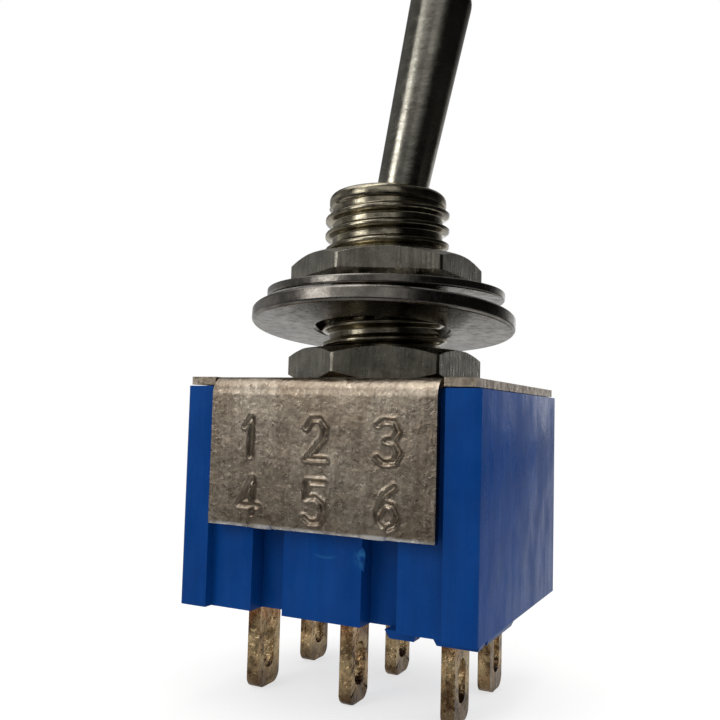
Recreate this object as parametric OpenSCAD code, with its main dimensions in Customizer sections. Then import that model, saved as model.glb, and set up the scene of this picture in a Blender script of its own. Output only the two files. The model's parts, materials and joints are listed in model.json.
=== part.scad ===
// Miniature panel toggle switch: two poles, two throws, solder-lug terminals.
// Origin: on the bushing axis, in the plane of the frame's top face.
// X runs along the lever's throw, Z up along the bushing. Millimetres.

/* [Case] */
// Distance of the outer terminals' middles from the case's ends
terminal_inset = 2.1; // [1.8:0.05:2.4]
// Thickness of the case's floor, which holds the terminals
case_floor = 3.0; // [2.4:0.1:3.4]
// Thickness of the case's end walls
end_wall = 1.2; // [0.8:0.05:1.3]
// Thickness of case that is left behind the side grooves
groove_wall = 0.9; // [0.6:0.05:1.1]
// Width of each corner pillar, along X
pillar_width = 1.4; // [1.0:0.05:1.5]
// How far the side panels lie behind the pillars
recess_depth = 0.45; // [0.3:0.05:0.6]
// Width of the two vertical grooves in each side
groove_width = 1.55; // [1.2:0.05:1.7]
// Depth of those grooves behind the panels
groove_depth = 0.95; // [0.6:0.05:1.0]
// Distance of each groove's middle from the case's middle
groove_offset = 2.6; // [2.4:0.05:2.8]
// Rounding of the case's upright edges
case_edge_r = 0.25; // [0.1:0.05:0.4]
// Height of the three locating feet under one corner of the case
foot_height = 0.35; // [0.2:0.05:0.5]
// Width of the locating feet
foot_width = 0.9; // [0.6:0.05:1.1]
// Length of the foot beside the groove
short_foot = 1.35; // [1.0:0.05:1.5]
// Length of the foot at the corner
corner_foot = 1.95; // [1.5:0.05:2.2]
// Length of the foot along the case's end
long_foot = 3.7; // [3:0.1:4]
// Thickness of the rib between the two poles
rib_t = 0.8; // [0.5:0.05:1.2]

/* [Frame] */
// Thickness of the frame's sheet steel
sheet_t = 0.35; // [0.25:0.01:0.4]
// How far the top plate's ends lie inside the case's ends
plate_inset = 0.2; // [0.05:0.05:0.5]
// Gap between a flap's edge and the pillar beside it
flap_gap = 0.2; // [0.05:0.05:0.4]
// Drop of the flaps below the top plate
flap_drop = 6.3; // [5:0.1:7.5]
// How far the flaps stand proud of the pillars
flap_proud = 0.3; // [0:0.05:0.4]
// Inside radius of the flaps' bends
bend_r = 0.4; // [0.15:0.05:0.4]
// Width of the crimped tongues at the flaps' lower edge
crimp_width = 1.2; // [0.8:0.05:1.3]
// Height of the crimped tongues
crimp_height = 0.95; // [0.6:0.05:1.3]
// Bite of the crimped tongues into the case's grooves
crimp_bite = 0.2; // [0.1:0.05:0.4]

/* [Bushing] */
// Diameter over the bushing's thread
thread_d = 6.0; // [5.6:0.05:6.4]
// Height of the bushing above the frame
bushing_height = 9.05; // [8.4:0.05:10]
// Thickness of the bushing's flange under the frame
flange_t = 0.6; // [0.4:0.05:0.7]
// Height of the bevel at the bushing's mouth
mouth_bevel = 0.45; // [0.3:0.05:0.6]

/* [Nuts and washers] */
// Width of the nuts across their flats
nut_flats = 8.0; // [7.6:0.1:9]
// Thickness of each nut
nut_t = 1.5; // [1.2:0.05:1.8]
// Turn of the lower nut about the bushing
lower_nut_turn = 25; // [0:1:59]
// Turn of the upper nut about the bushing
upper_nut_turn = 26; // [0:1:59]
// Height of the upper nut's underside above the frame
upper_nut_z = 4.35; // [4.2:0.05:4.6]
// Diameter of the toothed lock washer
lock_washer_d = 11.3; // [10:0.1:12]
// Thickness of the lock washer
lock_washer_t = 0.4; // [0.3:0.05:0.5]
// Number of the lock washer's inner teeth
lock_teeth = 10; // [8:1:12]
// Diameter of the key washer
key_washer_d = 12.5; // [11:0.1:13]
// Thickness of the key washer
key_washer_t = 0.7; // [0.5:0.05:0.8]
// Height of the key washer's middle above the frame, where it hangs
key_washer_z = 2.88; // [2.7:0.02:2.96]
// Lean of the loose key washer, away from the front
key_washer_lean = 5.4; // [0:0.1:5.8]
// Lean of the loose key washer along the lever's throw
key_washer_tip = 1; // [0:0.5:1.5]
// Sideways slip of the loose key washer on the thread
key_washer_slip = 0.1; // [0:0.02:0.14]

/* [Lever] */
// Height of the lever's pivot above the frame
pivot_z = 5.7; // [5.5:0.05:6]
// Lean of the lever to each side of upright
lever_lean = 11.5; // [9:0.5:11.5]
// Length of the lever outside the bushing
lever_reach = 10.5; // [8:0.1:14]
// Diameter of the lever at its pivot
lever_root_d = 2.24; // [2:0.02:2.3]
// Diameter of the lever at its widest, near the tip
lever_tip_d = 2.94; // [2.6:0.02:3.6]
// Height of the dome that ends the lever
lever_dome = 1.1; // [0.6:0.05:1.4]
// Diameter of the lever's ball
ball_d = 4.0; // [3.8:0.02:4.04]
// Diameter of the lever's shank below the ball
shank_d = 1.5; // [1.2:0.05:1.7]
// Diameter of the cross pin through the ball
pin_d = 0.8; // [0.6:0.05:1]

/* [Mechanism] */
// Distance of each pole from the middle plane
pole_y = 2.4; // [2.3:0.05:2.5]
// Distance of the actuator's top below the pivot
actuator_top = 7.4; // [7.3:0.05:7.6]
// Height of the actuator
actuator_height = 2.5; // [2.2:0.05:2.7]
// Outside diameter of the actuator's two barrels
barrel_d = 2.4; // [2:0.05:2.6]
// Diameter of the plungers
plunger_d = 1.36; // [1.1:0.02:1.5]
// How far the plungers stand out of their barrels
plunger_out = 1.3; // [1.1:0.05:1.5]
// Length of a plunger that its barrel guides
plunger_guide = 0.6; // [0.5:0.05:0.8]
// Thickness of the barrels' roofs
barrel_roof_t = 0.3; // [0.2:0.05:0.4]
// Travel of the plungers into their barrels
plunger_travel = 0.4; // [0.2:0.05:0.5]
// Diameter of the plunger springs' wire
spring_wire = 0.2; // [0.14:0.02:0.24]
// Number of turns of the plunger springs
spring_turns = 5; // [3:1:6]
// Lean of the contact rockers to each side of level
rocker_lean = 6.5; // [5:0.5:7]
// Height of the rockers' seats above the case's floor
seat_height = 0.89; // [0.8:0.01:1.1]
// Rise of the rockers' arms from their middle
rocker_rise = 8.5; // [7:0.5:9]
// Thickness of the rockers' strip
rocker_t = 0.4; // [0.3:0.05:0.5]
// Width of the rockers' strip
rocker_width = 1.9; // [1.6:0.1:2.0]
// How far the rockers' strip reaches past the outer contacts
rocker_overhang = 0.4; // [0.1:0.05:0.45]

/* [Terminals] */
// Distance from one terminal to the next along X
terminal_pitch = 4.7; // [4.5:0.05:5]
// Thickness of the terminal blades
blade_t = 0.6; // [0.5:0.05:0.9]
// Width of the terminal blades
blade_width = 1.8; // [1.6:0.05:2.2]
// Length of the blades below the case
blade_length = 4.1; // [3.5:0.1:6]
// Width of the wire slot through each blade
slot_width = 0.85; // [0.7:0.05:1.1]
// Height of the wire slot
slot_height = 1.8; // [1.2:0.05:2.4]
// Distance of the slot's lower end above the blade's tip
slot_above_tip = 0.8; // [0.5:0.05:1.2]
// Rounding of the blade's lower corners
blade_corner_r = 0.5; // [0.2:0.05:0.6]

/* [Clearances] */
// Gap between the frame and the case's top
frame_gap = 0.05; // [0.02:0.01:0.1]
// Radial gap of pieces that are screwed or pressed together
snug = 0.02; // [0.01:0.005:0.03]
// Radial gap of the ball and the cross pin in the bushing
ball_gap = 0.06; // [0.03:0.01:0.1]
// Radial gap of the plungers in their barrels
plunger_gap = 0.05; // [0.02:0.01:0.08]
// Gap under the rockers, at their seats
seat_gap = 0.04; // [0.02:0.01:0.08]
// Gap between the middle terminals' ears and the case's walls
wall_gap = 0.08; // [0.04:0.01:0.2]
// Gap round the bushing's flange in the top of the case
flange_gap = 0.1; // [0.05:0.01:0.2]
// Gap between an upright plunger's tip and its level rocker
tip_gap = 0.12; // [0.1:0.01:0.2]
// Radial gap of the loose washers on the thread
washer_gap = 0.2; // [0.15:0.01:0.3]

/* [Hidden] */
$fn = 64;
eps = 0.01;

// The mechanism, measured down from the pivot
actuator_bottom = actuator_top + actuator_height;
barrel_roof = actuator_top + barrel_roof_t;
plunger_r = plunger_d / 2;
barrel_r = plunger_r + plunger_gap;
plunger_reach = actuator_bottom + plunger_out;
plunger_shoulder = actuator_bottom - plunger_guide;
coil_gap = 0.04;
spring_length = plunger_shoulder - barrel_roof - coil_gap;
spring_mean_r = barrel_r - spring_wire / 2 - coil_gap;
rocker_top = pivot_z - plunger_reach - tip_gap;
rocker_seat = rocker_top - rocker_t;
seat_z = rocker_seat - seat_gap;
contact_r = 0.7;
contact_t = 0.25;
contact_z = seat_z + (terminal_pitch - contact_r) * tan(rocker_rise - rocker_lean);
ear_t = 0.25;
ear_gap = 0.12;
ear_y = rocker_width / 2 + ear_gap + ear_t;
lug_w = 0.4;

// The case
case_length = 2 * (terminal_pitch + terminal_inset);
case_top = -sheet_t - frame_gap;
floor_z = seat_z - seat_height;
case_bottom = floor_z - case_floor;
case_height = case_top - case_bottom;
half_l = case_length / 2;
room_half_l = half_l - end_wall;
room_half_w = pole_y + ear_y + wall_gap;
groove_y = room_half_w + groove_wall;
panel_y = groove_y + groove_depth;
half_w = panel_y + recess_depth;
case_width = 2 * half_w;
pillar_x = half_l - pillar_width;
foot_inset = 0.1;
foot_draft = 0.15;
foot_right = half_l - foot_inset;
foot_front = -panel_y + 2 * foot_inset;
foot_gap = 0.25;

// The frame
plate_length = case_length - 2 * plate_inset;
flap_width = 2 * (pillar_x - flap_gap);
flap_y = half_w + flap_proud;
bend_y = flap_y - sheet_t - bend_r;
edge_inset = 0.05;
plate_half_w = half_w - edge_inset;
relief = 0.12;

// The bushing
thread_r = thread_d / 2;
flange_d = 2 * (room_half_w - flange_gap);
seat_r = ball_d / 2 + ball_gap;
pin_stub = 0.4;
pin_length = ball_d + 2 * pin_stub;
neck_r = 1.62;
mouth_r = 2.1;
skirt_r = 2.6;
skirt_height = 4.4;
crest_bevel = 0.1;
keyway_w = 1.0;
keyway_depth = 0.35;
keyway_floor_r = thread_r - keyway_depth;
tongue_w = 0.8;
tongue_bite = 0.1;
tongue_root = 0.2;
tongue_r = thread_r - tongue_bite;

// The lever
shaft_out = bushing_height - pivot_z;
lever_top = shaft_out + lever_reach;
shank_inset = 0.2;
shank_length = actuator_bottom - shank_inset;

// The terminals
tip_z = case_bottom - blade_length;

// Puts a child in the pivot's frame, leaning as the lever does at rest
module on_lever() {
    translate([0, 0, pivot_z]) rotate([0, lever_lean, 0]) children();
}

// A rectangle with round corners
module round_rect(w, h, r) {
    square([w - 2 * r, h], center = true);
    square([w, h - 2 * r], center = true);
    for (x = [-1, 1], y = [-1, 1])
        translate([x * (w / 2 - r), y * (h / 2 - r)]) circle(r, $fn = 32);
}

// ---- Case ----

// The case's outline from above: pillars, panels and grooves
module case_outline() {
    difference() {
        round_rect(case_length, case_width, case_edge_r);
        for (s = [-1, 1]) {
            translate([-pillar_x, s > 0 ? panel_y : -half_w - eps])
                square([2 * pillar_x, recess_depth + eps]);
            for (g = [-1, 1])
                translate([g * groove_offset - groove_width / 2, s > 0 ? groove_y : -panel_y - eps])
                    square([groove_width, groove_depth + eps]);
        }
    }
}

// The room for the mechanism, with a rib between the poles
module case_room() {
    rib_top = rocker_top + rocker_t;
    difference() {
        translate([-room_half_l, -room_half_w, floor_z])
            cube([2 * room_half_l, 2 * room_half_w, case_top - floor_z + eps]);
        translate([-room_half_l - eps, -rib_t / 2, floor_z - eps])
            cube([2 * room_half_l + 2 * eps, rib_t, rib_top - floor_z + eps]);
    }
}

// A locating foot that narrows downwards, from its front left corner
module foot(x, y, length, width) {
    hull() {
        translate([x, y, case_bottom]) cube([length, width, eps]);
        translate([x + foot_draft, y + foot_draft, case_bottom - foot_height])
            cube([length - 2 * foot_draft, width - 2 * foot_draft, eps]);
    }
}

module case() {
    color([0.04, 0.22, 0.5])
    difference() {
        union() {
            translate([0, 0, case_bottom]) linear_extrude(case_height) case_outline();
            // Locating feet round the front right terminal
            foot(groove_offset + foot_draft, foot_front, short_foot, foot_width);
            foot(foot_right - corner_foot, foot_front, corner_foot, foot_width);
            foot(foot_right - foot_width, foot_front + foot_width + foot_gap, foot_width, long_foot);
        }
        case_room();
        for (i = [-1, 0, 1], s = [-1, 1])
            translate([i * terminal_pitch, s * pole_y, case_bottom - eps]) blade_passage();
    }
}

// The slot in the floor that holds one terminal
module blade_passage() {
    w = blade_t + 2 * snug;
    l = blade_width + 2 * snug;
    translate([-w / 2, -l / 2, 0]) cube([w, l, case_floor + 2 * eps]);
}

// ---- Frame ----

// Section of one flap and its bend, in the YZ plane, for the front flap
module flap_section() {
    outer = bend_r + sheet_t;
    difference() {
        union() {
            intersection() {
                translate([-bend_y, -outer]) circle(outer);
                translate([-bend_y - outer, -outer]) square(outer);
            }
            translate([-flap_y, -flap_drop]) square([sheet_t, flap_drop - outer]);
        }
        translate([-bend_y, -outer]) circle(bend_r, $fn = 32);
    }
}

// Section of a crimped tongue, bent inwards
module crimp_section() {
    inwards = flap_y - sheet_t - panel_y + crimp_bite;
    polygon([[-flap_y, -flap_drop + crimp_height], [-flap_y + sheet_t, -flap_drop + crimp_height],
             [-flap_y + sheet_t + inwards, -flap_drop], [-flap_y + inwards, -flap_drop]]);
}

// Stands a YZ section up and gives it a length along X
module along_x(length) {
    rotate([90, 0, 90]) translate([0, 0, -length / 2]) linear_extrude(length) children();
}

module one_flap() {
    slit = 0.1;
    difference() {
        along_x(flap_width) flap_section();
        for (g = [-1, 1])
            translate([g * groove_offset - crimp_width / 2 - slit, -flap_y - eps, -flap_drop - eps])
                cube([crimp_width + 2 * slit, sheet_t + 2 * eps, crimp_height + eps]);
    }
    for (g = [-1, 1])
        translate([g * groove_offset, 0, 0]) along_x(crimp_width) crimp_section();
}

module frame() {
    color([0.55, 0.5, 0.43])
    difference() {
        union() {
            translate([-plate_length / 2, -bend_y, -sheet_t])
                cube([plate_length, 2 * bend_y, sheet_t]);
            // Ends of the plate that reach out over the pillars
            for (s = [-1, 1])
                translate([s > 0 ? flap_width / 2 + relief : -plate_length / 2, -plate_half_w, -sheet_t])
                    cube([(plate_length - flap_width) / 2 - relief, 2 * plate_half_w, sheet_t]);
            one_flap();
            mirror([0, 1, 0]) one_flap();
        }
        translate([0, 0, -sheet_t - eps]) cylinder(r = thread_r + snug, h = sheet_t + 2 * eps);
    }
}

// ---- Bushing, nuts and washers ----

module bushing() {
    flange_z = -sheet_t - flange_t;
    seat_top = pivot_z + sqrt(seat_r * seat_r - neck_r * neck_r);
    color([0.6, 0.57, 0.52])
    difference() {
        union() {
            translate([0, 0, flange_z]) cylinder(d = flange_d, h = flange_t);
            translate([0, 0, -sheet_t - eps])
                cylinder(r = thread_r, h = bushing_height - mouth_bevel + sheet_t + eps);
            translate([0, 0, bushing_height - mouth_bevel])
                cylinder(r1 = thread_r - crest_bevel, r2 = thread_r - crest_bevel - mouth_bevel,
                         h = mouth_bevel);
        }
        // Skirt bore, ball seat, neck and flared mouth
        translate([0, 0, flange_z - eps]) cylinder(r1 = skirt_r, r2 = seat_r, h = skirt_height);
        translate([0, 0, 0]) cylinder(r = seat_r, h = pivot_z);
        translate([0, 0, pivot_z]) sphere(r = seat_r);
        translate([0, 0, pivot_z]) cylinder(r = neck_r, h = shaft_out + eps);
        translate([0, 0, seat_top]) cylinder(r1 = neck_r, r2 = mouth_r, h = bushing_height - seat_top + eps);
        // Keyway for the key washer's tongue
        translate([-thread_r - eps, -keyway_w / 2, 0])
            cube([thread_r + eps - keyway_floor_r, keyway_w, bushing_height + eps]);
        // Grooves that the cross pin slides up, and rests in
        translate([-pin_d / 2 - ball_gap, -pin_length / 2 - ball_gap, flange_z - eps])
            cube([pin_d + 2 * ball_gap, pin_length + 2 * ball_gap, pivot_z - flange_z + eps]);
        translate([0, 0, pivot_z]) rotate([90, 0, 0])
            cylinder(r = pin_d / 2 + ball_gap, h = pin_length + 2 * ball_gap, center = true);
    }
}

// A hexagon nut with both faces bevelled
module nut() {
    corner_r = nut_flats / sqrt(3);
    bevel = (corner_r - nut_flats / 2) * tan(30);
    difference() {
        intersection() {
            cylinder(r = corner_r, h = nut_t, $fn = 6);
            union() {
                cylinder(r1 = nut_flats / 2, r2 = corner_r, h = bevel);
                translate([0, 0, bevel - eps]) cylinder(r = corner_r, h = nut_t - 2 * bevel + 2 * eps);
                translate([0, 0, nut_t - bevel]) cylinder(r1 = corner_r, r2 = nut_flats / 2, h = bevel);
            }
        }
        translate([0, 0, -eps]) cylinder(r = thread_r + snug, h = nut_t + 2 * eps);
    }
}

module lower_nut() {
    color([0.5, 0.47, 0.42]) rotate([0, 0, lower_nut_turn]) nut();
}

module upper_nut() {
    color([0.52, 0.49, 0.44]) translate([0, 0, upper_nut_z]) rotate([0, 0, upper_nut_turn]) nut();
}

// A ring with teeth that point inwards at the thread
module lock_washer() {
    rim = 1.4;
    tooth_share = 0.6;
    inner_r = thread_r + washer_gap;
    ring_r = lock_washer_d / 2 - rim;
    pitch = 360 / lock_teeth;
    overlap = 0.3;
    color([0.6, 0.58, 0.55])
    translate([0, 0, upper_nut_z - lock_washer_t])
    difference() {
        cylinder(d = lock_washer_d, h = lock_washer_t);
        translate([0, 0, -eps]) cylinder(r = inner_r, h = lock_washer_t + 2 * eps);
        for (i = [0 : lock_teeth - 1])
            rotate([0, 0, i * pitch])
                translate([inner_r - overlap, 0, -eps]) linear_extrude(lock_washer_t + 2 * eps)
                    tooth_gap(ring_r - inner_r + overlap, inner_r - overlap, pitch * (1 - tooth_share));
    }
}

// The gap between two teeth, from above
module tooth_gap(depth, start_r, angle) {
    polygon([[0, -start_r * tan(angle / 2)], [depth, -(start_r + depth) * tan(angle / 2)],
             [depth, (start_r + depth) * tan(angle / 2)], [0, start_r * tan(angle / 2)]]);
}

// A plain washer with a tongue for the bushing's keyway, hanging loose
module key_washer() {
    inner_r = thread_r + washer_gap;
    color([0.62, 0.6, 0.57])
    translate([-key_washer_slip, 0, key_washer_z]) rotate([-key_washer_lean, -key_washer_tip, 0])
    translate([0, 0, -key_washer_t / 2]) {
        difference() {
            cylinder(d = key_washer_d, h = key_washer_t);
            translate([0, 0, -eps]) cylinder(r = inner_r, h = key_washer_t + 2 * eps);
        }
        translate([-inner_r - tongue_root, -tongue_w / 2, 0])
            cube([inner_r + tongue_root - tongue_r, tongue_w, key_washer_t]);
    }
}

// ---- Lever ----

// Radius of the lever at a distance s from its pivot
function lever_r(s) =
    lever_root_d / 2 + (lever_tip_d - lever_root_d) / 2 * s / (lever_top - lever_dome);

module lever() {
    dome_s = lever_top - lever_dome;
    tip_r = lever_tip_d / 2;
    color([0.7, 0.67, 0.6])
    on_lever() difference() {
        union() {
            rotate_extrude() polygon(concat(
                [[0, 0], [lever_r(0), 0]],
                [for (a = [0 : 10 : 90]) [tip_r * cos(a), dome_s + lever_dome * sin(a)]]));
            sphere(d = ball_d);
            translate([0, 0, -shank_length]) cylinder(d = shank_d, h = shank_length);
        }
        rotate([90, 0, 0]) cylinder(d = pin_d, h = pin_length, center = true);
    }
}

module pivot_pin() {
    color([0.75, 0.75, 0.75])
    on_lever() rotate([90, 0, 0]) cylinder(d = pin_d, h = pin_length, center = true);
}

// ---- Mechanism ----

// Moulded block on the lever's shank, with a barrel for each plunger
module actuator() {
    hub_d = 3.0;
    web_w = 1.8;
    color([0.9, 0.88, 0.82])
    on_lever() difference() {
        translate([0, 0, -actuator_bottom]) union() {
            cylinder(d = hub_d, h = actuator_height);
            translate([-web_w / 2, -pole_y, 0]) cube([web_w, 2 * pole_y, actuator_height]);
            for (s = [-1, 1]) translate([0, s * pole_y, 0]) cylinder(d = barrel_d, h = actuator_height);
        }
        translate([0, 0, -actuator_bottom - eps]) cylinder(d = shank_d, h = actuator_height + 2 * eps);
        for (s = [-1, 1])
            translate([0, s * pole_y, -actuator_bottom - eps])
                cylinder(r = barrel_r, h = actuator_bottom - barrel_roof + eps);
    }
}

// A plunger with a round tip and a spigot inside its spring
module plunger(y) {
    spigot_gap = 0.06;
    spigot_stop = 0.15;
    spigot_d = 2 * (spring_mean_r - spigot_gap) - spring_wire;
    spigot_length = spring_length - plunger_travel - spigot_stop;
    color([0.8, 0.65, 0.35])
    on_lever() translate([0, y, 0]) {
        translate([0, 0, -plunger_reach + plunger_r]) sphere(r = plunger_r);
        translate([0, 0, -plunger_reach + plunger_r])
            cylinder(r = plunger_r, h = plunger_reach - plunger_r - plunger_shoulder);
        translate([0, 0, -plunger_shoulder - eps]) cylinder(d = spigot_d, h = spigot_length + eps);
    }
}

module plunger_front() { plunger(-pole_y); }
module plunger_rear() { plunger(pole_y); }

// A coil spring swept as one closed skin
module coil(mean_r, wire_d, length, turns) {
    steps = 14;
    sides = 6;
    rise = length - wire_d;
    rings = steps * turns;
    points = [for (i = [0 : rings], j = [0 : sides - 1])
        let (a = i * 360 / steps, b = j * 360 / sides, r = mean_r + wire_d / 2 * cos(b))
        [r * cos(a), r * sin(a), wire_d / 2 + rise * i / rings + wire_d / 2 * sin(b)]];
    skin = [for (i = [0 : rings - 1], j = [0 : sides - 1])
        let (k = (j + 1) % sides)
        [i * sides + j, (i + 1) * sides + j, (i + 1) * sides + k, i * sides + k]];
    start = [for (j = [0 : sides - 1]) j];
    end = [for (j = [sides - 1 : -1 : 0]) rings * sides + j];
    polyhedron(points, concat([start], skin, [end]), convexity = 10);
}

module spring(y) {
    color([0.7, 0.7, 0.72])
    on_lever() translate([0, y, -plunger_shoulder + coil_gap / 2])
        coil(spring_mean_r, spring_wire, spring_length, spring_turns);
}

module spring_front() { spring(-pole_y); }
module spring_rear() { spring(pole_y); }

// A shallow V of strip that tips on the middle terminal
module rocker(y) {
    arm = terminal_pitch + rocker_overhang;
    rise = tan(rocker_rise);
    lug_step = 0.05;
    color([0.8, 0.6, 0.3])
    translate([0, y, rocker_seat]) rotate([0, -rocker_lean, 0]) {
        rotate([90, 0, 0]) translate([0, 0, -rocker_width / 2]) linear_extrude(rocker_width)
            polygon([[0, 0], [arm, arm * rise], [arm, arm * rise + rocker_t],
                     [0, rocker_t], [-arm, arm * rise + rocker_t], [-arm, arm * rise]]);
        // Lugs that sit between the middle terminal's ears
        translate([-lug_w / 2, -rocker_width / 2 - ear_gap - ear_t, lug_step])
            cube([lug_w, rocker_width + 2 * ear_gap + 2 * ear_t, rocker_t - lug_step]);
    }
}

module rocker_front() { rocker(-pole_y); }
module rocker_rear() { rocker(pole_y); }

// ---- Terminals ----

// Outline of a blade from its flat side, Y across and Z up
module blade_outline() {
    w = blade_width;
    r = blade_corner_r;
    difference() {
        union() {
            translate([-w / 2, tip_z + r]) square([w, floor_z - tip_z - r + eps]);
            translate([-w / 2 + r, tip_z]) square([w - 2 * r, r + eps]);
            for (s = [-1, 1]) translate([s * (w / 2 - r), tip_z + r]) circle(r, $fn = 32);
        }
        for (z = [slot_width / 2, slot_height - slot_width / 2])
            translate([0, tip_z + slot_above_tip + z]) circle(d = slot_width, $fn = 32);
        translate([-slot_width / 2, tip_z + slot_above_tip + slot_width / 2])
            square([slot_width, slot_height - slot_width]);
    }
}

module blade() {
    along_x(blade_t) blade_outline();
}

// An outer terminal: its head carries a domed contact
module outer_terminal() {
    head_l = 1.6;
    blade();
    translate([-head_l / 2, -blade_width / 2, floor_z])
        cube([head_l, blade_width, contact_z - contact_t - floor_z]);
    translate([0, 0, contact_z - contact_t - eps]) cylinder(r = contact_r, h = contact_t + eps);
}

// A middle terminal: its head is the rocker's seat, between two ears
module middle_terminal() {
    head_l = 1.8;
    head_t = 0.4;
    seat_l = 0.8;
    ear_h = 0.75;
    ear_in = rocker_width / 2 + ear_gap;
    lug_gap = 0.15;
    slot_w = lug_w + 2 * lug_gap;
    slot_low = 0.1;
    blade();
    translate([-head_l / 2, -ear_in - ear_t, floor_z])
        cube([head_l, 2 * ear_in + 2 * ear_t, head_t]);
    translate([-seat_l / 2, -rocker_width / 2, floor_z])
        cube([seat_l, rocker_width, seat_z - floor_z]);
    difference() {
        for (s = [-1, 1])
            translate([-head_l / 2, s > 0 ? ear_in : -ear_in - ear_t, floor_z])
                cube([head_l, ear_t, seat_z - floor_z + ear_h]);
        translate([-slot_w / 2, -ear_in - ear_t - eps, seat_z - slot_low])
            cube([slot_w, 2 * ear_in + 2 * ear_t + 2 * eps, ear_h + slot_low + eps]);
    }
}

module terminal(column, row) {
    color([0.72, 0.58, 0.36])
    translate([column * terminal_pitch, row * pole_y, 0])
        if (column == 0) middle_terminal(); else outer_terminal();
}

case();
frame();
bushing();
lower_nut();
key_washer();
lock_washer();
upper_nut();
lever();
pivot_pin();
actuator();
plunger_front();
plunger_rear();
spring_front();
spring_rear();
rocker_front();
rocker_rear();
terminal(-1, -1);  // terminal_front_left
terminal(0, -1);  // terminal_front_middle
terminal(1, -1);  // terminal_front_right
terminal(-1, 1);  // terminal_rear_left
terminal(0, 1);  // terminal_rear_middle
terminal(1, 1);  // terminal_rear_right
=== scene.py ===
"""Panel toggle switch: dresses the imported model. Sizes in millimetres until MM is applied."""
import json
import math

import bmesh
import bpy
from mathutils import Matrix, Vector


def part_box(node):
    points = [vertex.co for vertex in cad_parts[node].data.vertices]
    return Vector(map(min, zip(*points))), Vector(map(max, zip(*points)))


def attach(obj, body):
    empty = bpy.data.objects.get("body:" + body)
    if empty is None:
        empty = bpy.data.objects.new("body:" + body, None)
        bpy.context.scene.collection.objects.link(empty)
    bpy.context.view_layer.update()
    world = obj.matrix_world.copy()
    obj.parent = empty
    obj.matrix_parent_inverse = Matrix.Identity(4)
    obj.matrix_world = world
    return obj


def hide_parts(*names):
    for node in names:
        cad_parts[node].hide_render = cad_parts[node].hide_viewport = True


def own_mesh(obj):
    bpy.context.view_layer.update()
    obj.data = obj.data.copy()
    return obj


MM = 0.001
FULL_TURN = 2 * math.pi

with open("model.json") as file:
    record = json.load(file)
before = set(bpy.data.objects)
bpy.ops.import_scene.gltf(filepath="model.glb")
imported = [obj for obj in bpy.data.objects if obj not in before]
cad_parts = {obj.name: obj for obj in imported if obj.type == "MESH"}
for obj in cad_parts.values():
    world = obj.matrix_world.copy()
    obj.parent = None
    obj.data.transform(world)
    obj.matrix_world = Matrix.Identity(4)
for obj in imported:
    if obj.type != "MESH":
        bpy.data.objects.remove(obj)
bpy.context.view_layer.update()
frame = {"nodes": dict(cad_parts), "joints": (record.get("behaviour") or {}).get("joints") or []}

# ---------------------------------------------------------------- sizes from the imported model


def node_box(name):
    """A node's corners at rest, in millimetres."""
    low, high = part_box(name)
    return Vector(low) / MM, Vector(high) / MM


def joint_of(name):
    """A joint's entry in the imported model."""
    return next(j for j in frame["joints"] if j["name"] == name)


BUSH_LOW, BUSH_HIGH = node_box("bushing")
FRAME_LOW, FRAME_HIGH = node_box("frame")
CASE_LOW, CASE_HIGH = node_box("case")
LOCK_LOW, LOCK_HIGH = node_box("lock_washer")
UPPER_LOW, UPPER_HIGH = node_box("upper_nut")
LOWER_NUT_Z = node_box("lower_nut")[0].z
LUG_TIP_Z = node_box("terminal_front_left")[0].z
PIVOT_Z = joint_of("lever_throw")["pos_m"][2] / MM

# ---------------------------------------------------------------- sizes shared by several pieces

# Lean of the lever from upright at rest, in degrees.
LEVER_LEAN = 11.5
THREAD_R = 3.0
THREAD_PITCH = 0.75
# Gap all round between the thread and what it passes through.
THREAD_GAP = 0.02
NUT_FLATS = 8.0
NUT_T = UPPER_HIGH.z - UPPER_LOW.z
SHEET_T = 0.35
# Distance of each groove's middle from the case's middle.
GROOVE_X = 2.6
FOOT_HEIGHT = 0.35
# The case's underside, where the lugs come out.
CASE_BOTTOM = CASE_LOW.z + FOOT_HEIGHT
# Slack for telling which points lie on a face, and for heights that are equal but for rounding.
HAIR = 0.01
CLOSE = 1e-4
# Points nearer than this are one point.
SAME = 1e-5
BODY = "switch_body"
LEVER_BODY = "lever_assembly"

# ---------------------------------------------------------------- mesh helpers


def piece_from(bm, name, material, body, place=None, smooth_angle=35):
    """Turns a bmesh in millimetres into a finished piece that rides on a body."""
    bmesh.ops.remove_doubles(bm, verts=bm.verts, dist=CLOSE)
    bmesh.ops.recalc_face_normals(bm, faces=bm.faces)
    if place is not None:
        bmesh.ops.transform(bm, matrix=place, verts=bm.verts)
    bmesh.ops.scale(bm, vec=(MM, MM, MM), verts=bm.verts)
    for face in bm.faces:
        face.smooth = True
    for edge in bm.edges:
        if len(edge.link_faces) == 2:
            edge.smooth = edge.calc_face_angle(0) < math.radians(smooth_angle)
    mesh = bpy.data.meshes.new(name)
    bm.to_mesh(mesh)
    bm.free()
    piece = bpy.data.objects.new(name, mesh)
    bpy.context.scene.collection.objects.link(piece)
    mesh.materials.append(material)
    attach(piece, body)
    return piece


def soften(piece, width, segments=2, angle=30):
    """Rounds a piece's sharp edges by width millimetres."""
    bevel = piece.modifiers.new("soft_edges", "BEVEL")
    bevel.width = width * MM
    bevel.segments = segments
    bevel.limit_method = "ANGLE"
    bevel.angle_limit = math.radians(angle)
    bevel.harden_normals = False
    bevel.use_clamp_overlap = True


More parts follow.
